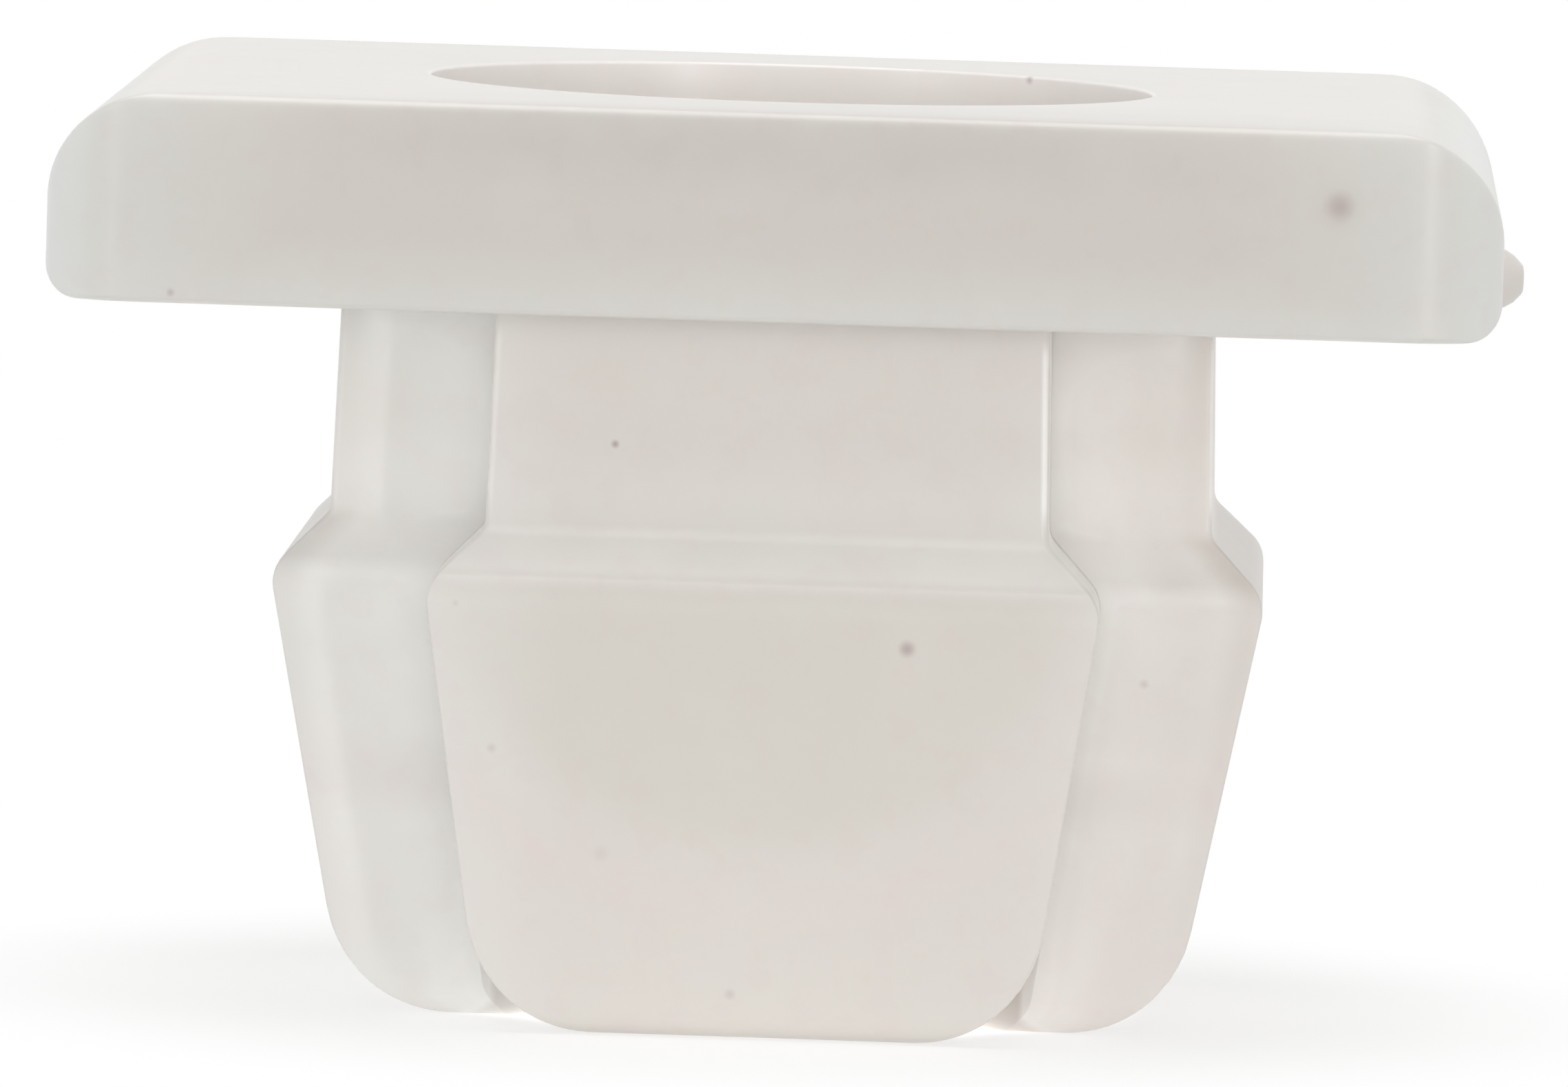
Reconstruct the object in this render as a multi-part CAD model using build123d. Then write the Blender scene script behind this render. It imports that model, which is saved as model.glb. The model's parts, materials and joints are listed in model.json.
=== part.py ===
"""Snap-in screw grommet for a square hole in sheet metal, moulded in natural nylon.

A flat rectangular head lies on the panel. Under it hangs a square shank whose four corners are notched
away, so that in plan it is a cross of four arms. Each arm is a leg with a barb under the panel and a
tapered, rounded toe. A screw goes down through the wide hole in the head into the small bore that the
four toes leave between them, and spreads the legs behind the panel. Slots between the legs let each one
flex at its root, under the head.

Millimetres. Z is the screw axis, and Z = 0 is the underside of the head, the face on the panel. X runs
along the long side of the head.
"""
from build123d import *
from math import radians, tan
import os

# Head
HEAD_LENGTH = 16.0          # along X
HEAD_WIDTH = 12.5           # along Y
HEAD_THICKNESS = 2.3
HEAD_END_RADIUS = 1.3       # rounding of the top edge at each end of the head
HEAD_FOOT_RADIUS = 0.4      # rounding of the lower edge at each end
HEAD_CORNER_RADIUS = 1.0    # upright corners, seen from above
HEAD_TOP_EDGE_RADIUS = 0.12 # top edge of the two long sides
HEAD_LOW_EDGE_RADIUS = 0.06 # lower edge of the two long sides

# Gate stub left by the mould on the +X end of the head
GATE_HEIGHT = 0.68          # across the stub
GATE_REACH = 0.30           # out from the end face
GATE_CENTRE_Z = 0.36
GATE_CHAMFER = 0.12

# Screw passage
HOLE_RADIUS = 4.06          # clearance hole through the head and neck
BOWL_START = 4.0            # depth below the head where the passage starts to close in
BOWL_END = 6.6              # depth where it reaches the pilot bore
PILOT_RADIUS = 1.9          # bore for the thread of the screw, between the four toes

# Shank, half widths measured from the screw axis; depths are below the head
SHANK_LENGTH = 8.06
NECK_LENGTH = 2.45          # from the head to the start of the barb's shoulder
NECK_HALF_TOP = 4.84        # half width across two opposite legs, at the head
NECK_HALF_LOW = 4.90        # the same at the end of the neck
BARB_OUT = 0.62             # how far the barb stands out of the neck, on every side
TOE_HALF = 4.58             # half width at the toes, before their rounding
LEG_HALF_TOP = 3.05         # half of a leg's own width, at the head
LEG_HALF_LOW = 3.10         # the same at the end of the neck
LEG_HALF_TOE = 3.0          # the same at the toes, before their rounding
BARB_RADIUS = 0.45          # convex rounding of the barb
SHOULDER_RADIUS = 0.25      # hollow rounding between neck and shoulder
END_TOE_RADIUS = 1.5        # outer toe rounding of the left and right legs
FACE_TOE_RADIUS = 0.5       # outer toe rounding of the front and rear legs
FACE_SIDE_RADIUS = 1.5      # toe rounding at the two sides of the front and rear legs
END_SIDE_RADIUS = 0.5       # toe rounding at the two sides of the left and right legs

# Flexing: each leg turns about a line across its root
PINCH_DEGREES = 2.5         # inward travel of each leg, which sets the width of the slots
SPREAD_DEGREES = 4.0        # outward travel of each leg
SLOT_AT_ROOT = 0.06         # slot width along Y where the legs meet the head
ROOT_DEPTH = 0.15           # collar under the head that the legs hang from, the top of the neck
ROOT_FLARE = 0.12           # how far that collar flares out where it meets the head
ROOT_CLEARANCE = 0.3        # extra degrees of relief over each root face

# Working values
WIDE = 4 * HEAD_LENGTH      # larger than anything in the part
HINGE_RADIUS = (NECK_HALF_TOP + HOLE_RADIUS) / 2


def upright_outline(neck_top, neck_low, toe, toe_radius):
    """Face on XY: X is half a width, Y is height. A neck, a barb with a 45 degree shoulder, a tapered toe."""
    barb = neck_low + BARB_OUT
    barb_depth = NECK_LENGTH + BARB_OUT
    half = [(neck_top, 0), (neck_low, -NECK_LENGTH), (barb, -barb_depth), (toe, -SHANK_LENGTH)]
    other = [(-x, z) for x, z in reversed(half)]
    face = make_face(Polyline(*half, *other, close=True))
    rounding = ((-NECK_LENGTH, SHOULDER_RADIUS), (-barb_depth, BARB_RADIUS), (-SHANK_LENGTH, toe_radius))
    for height, radius in rounding:
        corners = [v for v in face.vertices() if abs(v.Y - height) < 1e-4]
        face = fillet(corners, radius)
    return face


def bar(across_toe_radius, own_toe_radius):
    """Two opposite legs as one bar along X: its long outline seen along Y, its own width seen along X."""
    across = upright_outline(NECK_HALF_TOP, NECK_HALF_LOW, TOE_HALF, across_toe_radius)
    own = upright_outline(LEG_HALF_TOP, LEG_HALF_LOW, LEG_HALF_TOE, own_toe_radius)
    return extrude(Plane.XZ * across, WIDE, both=True) & extrude(Plane.YZ * own, WIDE, both=True)


def screw_passage():
    """Everything that the screw passes through, as one turned solid."""
    wall = [
        Line((0, HEAD_THICKNESS + 1), (HOLE_RADIUS, HEAD_THICKNESS + 1)),
        Line((HOLE_RADIUS, HEAD_THICKNESS + 1), (HOLE_RADIUS, -BOWL_START)),
        TangentArc((HOLE_RADIUS, -BOWL_START), (PILOT_RADIUS, -BOWL_END), tangent=(0, -1)),
        Line((PILOT_RADIUS, -BOWL_END), (PILOT_RADIUS, -SHANK_LENGTH - 1)),
        Line((PILOT_RADIUS, -SHANK_LENGTH - 1), (0, -SHANK_LENGTH - 1)),
        Line((0, -SHANK_LENGTH - 1), (0, HEAD_THICKNESS + 1)),
    ]
    return revolve(Plane.XZ * make_face(wall), Axis.Z)


def sector(setback, tilt_degrees):
    """Quarter of the plan on the +X side, set back from the axis and leaning away from it with depth."""
    quarter = make_face(Polyline((0, 0), (WIDE, -WIDE), (WIDE, WIDE), close=True))
    return Rot(Y=-tilt_degrees) * Pos(setback, 0, WIDE / 2) * extrude(quarter, -WIDE)


def root_relief():
    """What is cut off a leg on the +X side under the collar, so that its root is a ridge along the hinge."""
    inner_drop = HINGE_RADIUS * tan(radians(PINCH_DEGREES + ROOT_CLEARANCE))
    outer_drop = HINGE_RADIUS * tan(radians(SPREAD_DEGREES + ROOT_CLEARANCE))
    wedge = make_face(Polyline(
        (HINGE_RADIUS, 0),
        (2 * HINGE_RADIUS, -outer_drop),
        (2 * HINGE_RADIUS, HINGE_RADIUS),
        (0, HINGE_RADIUS),
        (0, -inner_drop),
        close=True,
    ))
    return extrude(Plane.XZ * Pos(0, -ROOT_DEPTH) * wedge, WIDE, both=True)


def leg(toe_radius, side_radius, setback, tilt_degrees):
    """One leg on the +X side, with its hinge line along Y."""
    arm = bar(toe_radius, side_radius) & sector(setback, tilt_degrees)
    return arm - screw_passage() - root_relief()


def cross(grown):
    """Plan of the top of the neck: two crossed bars, grown on all sides."""
    long_side = 2 * (NECK_HALF_TOP + grown)
    short_side = 2 * (LEG_HALF_TOP + grown)
    return Rectangle(long_side, short_side) + Rectangle(short_side, long_side)


def head():
    """The head: its end, side and plan outlines crossed, the root collar, the screw hole and the gate stub."""
    end_view = Pos(0, HEAD_THICKNESS / 2) * Rectangle(HEAD_LENGTH, HEAD_THICKNESS)
    top = [v for v in end_view.vertices() if v.Y > HEAD_THICKNESS / 2]
    end_view = fillet(top, HEAD_END_RADIUS)
    low = [v for v in end_view.vertices() if abs(v.Y) < 1e-4]
    end_view = fillet(low, HEAD_FOOT_RADIUS)

    side_view = Pos(0, HEAD_THICKNESS / 2) * Rectangle(HEAD_WIDTH, HEAD_THICKNESS)
    top = [v for v in side_view.vertices() if v.Y > HEAD_THICKNESS / 2]
    side_view = fillet(top, HEAD_TOP_EDGE_RADIUS)
    low = [v for v in side_view.vertices() if abs(v.Y) < 1e-4]
    side_view = fillet(low, HEAD_LOW_EDGE_RADIUS)

    plan = RectangleRounded(HEAD_LENGTH, HEAD_WIDTH, HEAD_CORNER_RADIUS)
    plate = extrude(Plane.XZ * end_view, HEAD_WIDTH, both=True)
    plate &= extrude(Plane.YZ * side_view, HEAD_LENGTH, both=True)
    plate &= extrude(plan, HEAD_THICKNESS)

    stub = extrude(RegularPolygon(GATE_HEIGHT / 2, 8), GATE_REACH + HEAD_END_RADIUS)
    stub = chamfer(stub.faces().sort_by(Axis.Z)[-1].edges(), GATE_CHAMFER)
    stub = Pos(HEAD_LENGTH / 2 - HEAD_END_RADIUS, 0, GATE_CENTRE_Z) * Rot(Y=90) * stub

    collar = loft([cross(ROOT_FLARE).face(), Pos(0, 0, -ROOT_DEPTH) * cross(0).face()], ruled=True)
    return plate + collar + stub - screw_passage()


os.makedirs("parts", exist_ok=True)

# The slots are cut out of the front and rear legs only, so that the left and right legs reach the notches.
end_leg = leg(END_TOE_RADIUS, END_SIDE_RADIUS, 0, 0)
face_leg = leg(FACE_TOE_RADIUS, FACE_SIDE_RADIUS, SLOT_AT_ROOT, 2 * PINCH_DEGREES)

pieces = {
    "head_plate": head(),
    "right_leg": end_leg,
    "left_leg": Rot(Z=180) * end_leg,
    "rear_leg": Rot(Z=90) * face_leg,
    "front_leg": Rot(Z=-90) * face_leg,
}
for name, shape in pieces.items():
    export_step(shape, f"parts/{name}.step")
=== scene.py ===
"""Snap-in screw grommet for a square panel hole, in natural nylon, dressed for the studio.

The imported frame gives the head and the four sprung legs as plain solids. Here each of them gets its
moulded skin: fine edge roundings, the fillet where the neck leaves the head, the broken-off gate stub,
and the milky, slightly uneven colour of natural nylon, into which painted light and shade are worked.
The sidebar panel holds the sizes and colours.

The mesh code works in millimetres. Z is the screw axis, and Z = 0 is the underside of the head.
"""
import json
from math import asin, atan2, cos, pi, radians, sin, sqrt, tan

import bpy
import bmesh
from mathutils import Matrix, Quaternion, Vector


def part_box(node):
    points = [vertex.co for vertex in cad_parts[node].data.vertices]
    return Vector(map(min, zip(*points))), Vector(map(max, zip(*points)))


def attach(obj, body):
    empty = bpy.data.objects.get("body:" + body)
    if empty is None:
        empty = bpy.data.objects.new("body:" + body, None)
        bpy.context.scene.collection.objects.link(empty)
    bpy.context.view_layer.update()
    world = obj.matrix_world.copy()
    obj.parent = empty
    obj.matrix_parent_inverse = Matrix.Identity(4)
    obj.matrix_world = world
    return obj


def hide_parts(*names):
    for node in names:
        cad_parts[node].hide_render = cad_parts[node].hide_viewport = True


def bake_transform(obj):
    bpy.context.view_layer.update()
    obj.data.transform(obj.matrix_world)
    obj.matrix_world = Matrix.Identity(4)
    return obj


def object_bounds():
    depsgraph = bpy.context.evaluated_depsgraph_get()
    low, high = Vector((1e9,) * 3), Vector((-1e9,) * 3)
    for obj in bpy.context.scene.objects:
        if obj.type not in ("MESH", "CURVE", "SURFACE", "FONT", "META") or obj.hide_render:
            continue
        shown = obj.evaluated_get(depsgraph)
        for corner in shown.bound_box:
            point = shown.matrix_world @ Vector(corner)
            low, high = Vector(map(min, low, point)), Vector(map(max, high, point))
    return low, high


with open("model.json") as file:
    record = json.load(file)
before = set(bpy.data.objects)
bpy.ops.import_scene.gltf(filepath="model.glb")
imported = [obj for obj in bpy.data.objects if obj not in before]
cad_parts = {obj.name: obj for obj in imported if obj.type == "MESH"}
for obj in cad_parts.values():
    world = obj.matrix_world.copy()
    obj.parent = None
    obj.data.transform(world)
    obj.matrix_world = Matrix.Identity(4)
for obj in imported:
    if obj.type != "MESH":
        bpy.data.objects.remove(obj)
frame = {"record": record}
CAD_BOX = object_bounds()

bl_info = {
    "name": "Square Screw Grommet",
    "version": (1, 0, 0),
    "blender": (4, 5, 0),
    "location": "View3D > Sidebar > Grommet",
    "description": "Moulded nylon skins and a light table for a snap-in screw grommet",
    "category": "Add Mesh",
}

MM = 0.001
PLACE = "mould_place"           # where each point lay in the mould, in millimetres, kept through every pose
QUARTER = pi / 2

# Fineness of the meshes
CORNER_STEPS = 14               # spans along a rounded upright corner of the head
LONG_SIDE_STEPS = 20            # spans along half of the head's long side
SHORT_SIDE_STEPS = 14           # spans along half of the head's short side
ARC_STEPS = 10                  # spans along a rounding seen in an upright outline
RIM_STEPS = 6                   # spans along the small roundings at the rims, and down the hole
LEVEL_STEPS = 4                 # rings over the head's flat top and underside
STRAIGHT_SPAN = 0.28            # longest straight span of an upright outline, in millimetres
EDGE_STEPS = 4                  # spans along the roundings of a slot
UPRIGHT_STEPS = 9               # spans along the outer upright edge of a leg
BORE_STEPS = 14                 # spans along half of a leg's share of the bore
SLOT_PARTS = 3                  # spans across a slot's wall
SIDE_PARTS = 4                  # spans across the side that a leg turns to the notch
FACE_PARTS = 8                  # spans across half of a leg's outer face
LEAST_STEP = 0.004              # two heights closer than this count as one, in millimetres
SHARP_EDGE = radians(50)        # edges that turn by more than this stay sharp

# Shape of the legs, in millimetres
BURIED = 0.35                   # how far a leg's skin runs up into the head, out of sight
BURIED_LEAN = 0.3               # how far its bore widens there, for each millimetre up
EDGE_CHANGE = 0.3               # depth over which the neck's side edge turns into the barb's

# Light table. The places are distances from the screw axis
WHITE_FADE = (5.5 * MM, 11 * MM)    # where the table starts to turn white, and where it is all white
WHITE_SHARES = (0.45, 0.55)     # how white it is to the camera near the part, and what the fade adds
UNDER_PART = (4.4 * MM, 3.4 * MM)   # where the glow under the part starts, and where it is full
TABLE_ROUGHNESS = 0.6
TABLE_GLOSS = 0.2

# Room and lamps
FRONT_FOCUS = 8                 # how closely the front light keeps to its direction
WALL_FOCUS = 5                  # the same for the soft walls of light
TOP_BOX = ((0.26, 0.26), (0, -0.02, 0.26))              # size and place of each lamp, in metres
LEFT_STRIP = ((0.012, 0.06), (-0.215, -0.24, 0.025))
RIGHT_STRIP = ((0.012, 0.06), (0.19, -0.28, 0.025))
NEAREST, FARTHEST = 0.01, 10    # what the camera sees, in metres

# Each leg: the node that it stands for, and the turn about Z that takes +X to its side
END_LEGS = {"right_leg": 0, "left_leg": pi}
FACE_LEGS = {"rear_leg": QUARTER, "front_leg": -QUARTER}


def bore_radius(mount_name):
    """Radius of one of the record's bores, in metres."""
    found = next(m for m in frame["record"]["mounts"] if m["name"] == mount_name)
    return found["dims"]["r_mm"] * MM


def linear(red, green, blue):
    """Scene colour of a display colour given as 0 to 255."""
    shares = [c / 255 for c in (red, green, blue)]
    return tuple(((s + 0.055) / 1.055) ** 2.4 if s > 0.04 else s / 12.92 for s in shares)


def length(name, description, default):
    """Setting for a length, in metres."""
    return bpy.props.FloatProperty(
        name=name, description=description, default=default, unit="LENGTH", precision=5)


def share(name, description, default):
    """Setting for a share from 0 to 1."""
    return bpy.props.FloatProperty(
        name=name, description=description, default=default, min=0, max=1, subtype="FACTOR")


def strength(name, description, default, unit="NONE"):
    """Setting for how strong a light is."""
    return bpy.props.FloatProperty(name=name, description=description, default=default, min=0, unit=unit)


def paint(name, description, red, green, blue):
    """Setting for a colour, whose default is a display colour given as 0 to 255."""
    return bpy.props.FloatVectorProperty(
        name=name, description=description, default=linear(red, green, blue), subtype="COLOR")


HEAD_LOW, HEAD_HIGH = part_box("head_plate")
END_LOW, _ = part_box("right_leg")


# ---------------------------------------------------------------------------------------------------
# Sizes, colours and lamps that a user would change
# ---------------------------------------------------------------------------------------------------

class GrommetHead(bpy.types.PropertyGroup):
    """Sizes of the rectangular head."""
    half_length: length("Half length", "From the screw axis to the plain end of the head", -HEAD_LOW.x)
    half_width: length("Half width", "From the screw axis to a long side of the head", HEAD_HIGH.y)
    thickness: length("Thickness", "From the panel to the top of the head", HEAD_HIGH.z)
    hole_radius: length("Hole radius", "Clearance hole for the screw", bore_radius("screw_entry"))
    end_radius: length("End rounding", "Rounding of the top edge at each end", 1.3 * MM)
    foot_radius: length("Foot rounding", "Rounding of the lower edge at each end", 0.4 * MM)
    corner_radius: length("Corner rounding", "Upright corners, seen from above", 1.15 * MM)
    top_edge_radius: length(
        "Top edge rounding", "Top edge of the two long sides, and of the ends of the arcs", 0.12 * MM)
    low_edge_radius: length("Low edge rounding", "Lower edge of the two long sides", 0.06 * MM)
    rim_radius: length("Hole rim rounding", "Rounding of the top rim of the screw hole", 0.04 * MM)


class GrommetGate(bpy.types.PropertyGroup):
    """Sizes of the stub that was left where the part was broken off its runner."""
    radius: length("Radius", "Half of the stub's height", 0.34 * MM)
    middle_height: length("Middle height", "Height of the stub's middle above the panel", 0.36 * MM)
    reach: length("Reach", "How far the stub stands out of the end of the head", HEAD_HIGH.x + HEAD_LOW.x)


class GrommetLegs(bpy.types.PropertyGroup):
    """Sizes of the four legs: half widths from the screw axis, and depths below the head."""
    shank_length: length("Shank length", "From the panel to the tips of the toes", -END_LOW.z)
    neck_length: length("Neck length", "From the head to the shoulder of the barb", 2.45 * MM)
    neck_half_top: length("Neck at the head", "Half width across two opposite legs, at the head", 4.84 * MM)
    neck_half_low: length(
        "Neck at the shoulder", "Half width across two opposite legs, at the shoulder", 4.90 * MM)
    barb_out: length("Barb", "How far the barb stands out of the neck", 0.62 * MM)
    toe_half: length("Toe", "Half width across two opposite toes, before their rounding", 4.58 * MM)
    leg_half_top: length("Leg at the head", "Half of a leg's own width, at the head", 3.05 * MM)
    leg_half_low: length("Leg at the shoulder", "Half of a leg's own width, at the shoulder", 3.10 * MM)
    leg_half_toe: length("Leg at the toe", "Half of a leg's own width, before the toe's rounding", 3.0 * MM)
    barb_radius: length("Barb rounding", "Rounding of the barb's widest edge", 0.45 * MM)
    shoulder_radius: length("Shoulder rounding", "Hollow rounding between neck and shoulder", 0.25 * MM)
    wide_toe_radius: length("Wide toe rounding", "Toe rounding seen from the front of the head", 1.5 * MM)
    tight_toe_radius: length("Tight toe rounding", "Toe rounding seen from the ends of the head", 0.5 * MM)
    bowl_start: length("Bowl start", "Depth where the screw passage starts to close in", 4.0 * MM)
    bowl_end: length("Bowl end", "Depth where the screw passage reaches its small bore", 6.6 * MM)
    pilot_radius: length(
        "Pilot radius", "Small bore between the toes, for the screw's thread", bore_radius("pilot_bore"))
    slot_at_root: length(
        "Slot at the root", "Setback of the front and rear legs' slots at the head", 0.06 * MM)
    slot_lean: bpy.props.FloatProperty(
        name="Slot lean", description="How fast those slots open with depth",
        default=radians(5), unit="ROTATION", subtype="ANGLE")
    root_fillet: length("Root fillet", "Fillet where the neck meets the head", 0.12 * MM)
    upright_radius: length(
        "Neck side edge", "Rounding of the two outer upright edges of each leg's neck", 0.08 * MM)
    barb_side_radius: length("Barb side edge", "Rounding of the same edges from the barb down", 0.03 * MM)
    notch_radius: length("Notch edge", "Rounding where a leg's side meets its slot", 0.025 * MM)
    bore_edge_radius: length("Bore edge", "Rounding where a slot meets the screw passage", 0.06 * MM)
    toe_rim_radius: length("Toe rim", "Rounding of the bore's and the slots' lower edges", 0.12 * MM)


class GrommetNylon(bpy.types.PropertyGroup):
    """Finish of natural, undyed nylon, with painted light and shade among its colours."""
    colour: paint("Nylon", "Plain colour of the nylon", 219, 214, 208)
    # Painted shade: the head is painted darker than the legs
    shaded_head: paint("Thick nylon", "Colour of the head, where the nylon is thickest", 207, 202, 195)
    # Painted shade: darker still in the upper middle of the head
    deep: paint("Deep nylon", "Colour of the head where it is widest and thickest", 201, 196, 190)
    # Cooler tint and painted light: lighter towards the head's ends and its foot
    cool_lit_outer: paint("Cool ends", "Colour of the head's ends and foot", 212, 211, 206)
    # Painted light: the top face and its front edge are painted lighter
    lit_top_face: paint("Top face", "Colour of the head's top face", 221, 218, 213)
    # Painted light: lifts the shade inside the screw hole
    wall: paint("Hole wall", "Colour of the wall of the screw hole", 244, 239, 234)
    # Painted shade: the shade of the screw cavity, seen through the thin wall
    cavity_shade: paint("Over the cavity", "Colour where the wall over the screw cavity is thin", 214, 210, 202)
    # Painted light: lifts the shade in the notches, on the shoulders and near the head, and paints the
    # highlights on the neck's side edges
    edge: paint("Thin edges", "Colour where the nylon thins out and lets light through", 251, 250, 246)
    # Cooler tint and painted light: lighter on the left leg and at the head's ends
    cool_lit_side: paint("Cooler side", "Tone that the nylon of the left leg leans to", 238, 240, 238)
    rosy_side: paint("Rosier side", "Tone that the nylon of the right leg leans to", 240, 222, 216)
    rosy: paint("Rosy clouds", "Faint rosy clouds", 223, 213, 210)
    rosy_tint: paint("Rosy mottling", "Tint of the small rosy patches", 255, 250, 252)
    green: paint("Green clouds", "Faint green clouds", 218, 220, 211)
    dirt: paint("Specks", "Colour of the dark specks moulded into the nylon", 146, 112, 116)
    roughness: share("Roughness", "Gloss of the moulded surface, where 0 is a mirror", 0.32)
    unevenness: share("Unevenness", "How far the roughness varies over the surface", 0.05)
    milkiness: share("Milkiness", "Share of the light that travels under the surface", 0.2)
    milk_depth: length("Milk depth", "How far light travels under the surface", 1.5 * MM)


class GrommetStage(bpy.types.PropertyGroup):
    """Light table, lamps and camera."""
    floor_colour: paint("Table", "Colour of the light table", 228, 228, 227)
    floor_half: length("Table half size", "Half of the table's side", 1.2)
    sky: strength("Room light", "Strength of the plain light from all round", 0.12)
    front_light: strength(
        "Front light", "Strength of the soft light that comes from the camera's side", 2.65)
    side_light: strength("Side light", "Strength of the soft walls of light to the left and right", 1.0)
    back_light: strength("Back light", "Strength of the soft wall of light behind the part", 1.5)
    table_glow: strength("Table glow", "Strength of the light that the table gives off", 0.4)
    under_glow: strength("Glow under the part", "Strength of the table's light right under the part", 0.6)
    glow_reach: length("Glow reach", "How far from the part the table still glows", 16 * MM)
    top_lamp: strength("Top lamp", "Power of the soft box overhead", 0.53, unit="POWER")
    left_lamp: strength("Left strip", "Power of the strip lamp left of the camera", 0.06, unit="POWER")
    right_lamp: strength("Right strip", "Power of the strip lamp right of the camera", 0.11, unit="POWER")
    camera_place: bpy.props.FloatVectorProperty(
        name="Camera", description="Where the camera stands", subtype="XYZ", unit="LENGTH",
        default=(5.27 * MM, -200.5 * MM, 12.87 * MM))
    camera_aim: bpy.props.FloatVectorProperty(
        name="Camera aim", description="The point that the camera looks at", subtype="XYZ", unit="LENGTH",
        default=(0.073 * MM, 0, -2.899 * MM))
    camera_roll: bpy.props.FloatProperty(
        name="Camera roll", description="Turn of the camera about its line of sight",
        default=0.031, unit="ROTATION", subtype="ANGLE")
    camera_lens: bpy.props.FloatProperty(
        name="Focal length", description="Focal length in millimetres of the long lens",
        default=409.7, min=1)


# ---------------------------------------------------------------------------------------------------
# Outlines and skins
# ---------------------------------------------------------------------------------------------------

def millimetres(group, name):
    """A length of a property group, in millimetres."""
    return getattr(group, name) / MM


def bend(before, corner, after, radius, steps):
    """The arc that rounds a corner, as steps + 1 points from its first side to its second."""
    into = (corner - before).normalized()
    out = (after - corner).normalized()
    turn = into.angle(out)
    side = 1 if into.cross(out) > 0 else -1
    start = corner - into * radius * tan(turn / 2)
    centre = start + Vector((-into.y, into.x)) * radius * side
    spoke = start - centre
    return [centre + Matrix.Rotation(side * turn * k / steps, 2) @ spoke for k in range(steps + 1)]


def divided(start, end, parts):
    """The points strictly between two points that divide their line into equal parts."""
    return [start.lerp(end, k / parts) for k in range(1, parts)]


def quarter_turn(steps):
    """Angles from nothing to a quarter turn in equal steps."""
    return [QUARTER * k / steps for k in range(steps + 1)]


def thinned(heights, end):
    """Heights in the order given up to the end, without those that lie next to the one before."""
    kept = [heights[0]]
    for z in heights[1:]:
        if abs(z - kept[-1]) > LEAST_STEP:
            kept.append(z)
    kept[-1] = end
    return kept


class Outline:
    """Half of an upright outline from the head down to the toe, as half width against height."""

    FINE = 6                    # finer points for each height that a skin is built at

    def __init__(self, corners, radii):
        self.points = [corners[0]]
        self.heights = [corners[0].y]
        last = corners[0]
        for before, corner, after, radius in zip(corners, corners[1:], corners[2:], radii):
            arc = bend(before, corner, after, radius, ARC_STEPS * self.FINE)
            spans = max(1, round((last - arc[0]).length / STRAIGHT_SPAN))
            self.heights += [p.y for p in divided(last, arc[0], spans)]
            self.heights += [p.y for p in arc[::self.FINE]]
            self.points += arc
            last = arc[-1]

    def half(self, z):
        """Half width at a height. Above the head's underside it stays as it is there."""
        if z >= self.points[0].y:
            return self.points[0].x
        for high, low in zip(self.points, self.points[1:]):
            if low.y <= z:
                return high.lerp(low, (high.y - z) / (high.y - low.y)).x
        return self.points[-1].x


class Passage:
    """The screw passage: a wide hole, a bowl that closes in below it, and the small bore of the toes."""

    def __init__(self, legs, hole_radius):
        self.hole = hole_radius
        self.pilot = millimetres(legs, "pilot_radius")
        self.start = millimetres(legs, "bowl_start")
        self.end = millimetres(legs, "bowl_end")
        drop = self.end - self.start
        step = self.hole - self.pilot
        self.bowl = (step ** 2 + drop ** 2) / (2 * step)    # radius of the bowl's upright section
        sweep = asin(drop / self.bowl)
        turns = [sweep * k / ARC_STEPS for k in range(ARC_STEPS + 1)]
        self.heights = [-self.start - self.bowl * sin(t) for t in turns]

    def radius(self, z):
        """Radius of the passage at a height."""
        depth = -z
        if depth <= self.start:
            return self.hole
        if depth >= self.end:
            return self.pilot
        return self.hole - self.bowl + sqrt(self.bowl ** 2 - (depth - self.start) ** 2)


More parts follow.
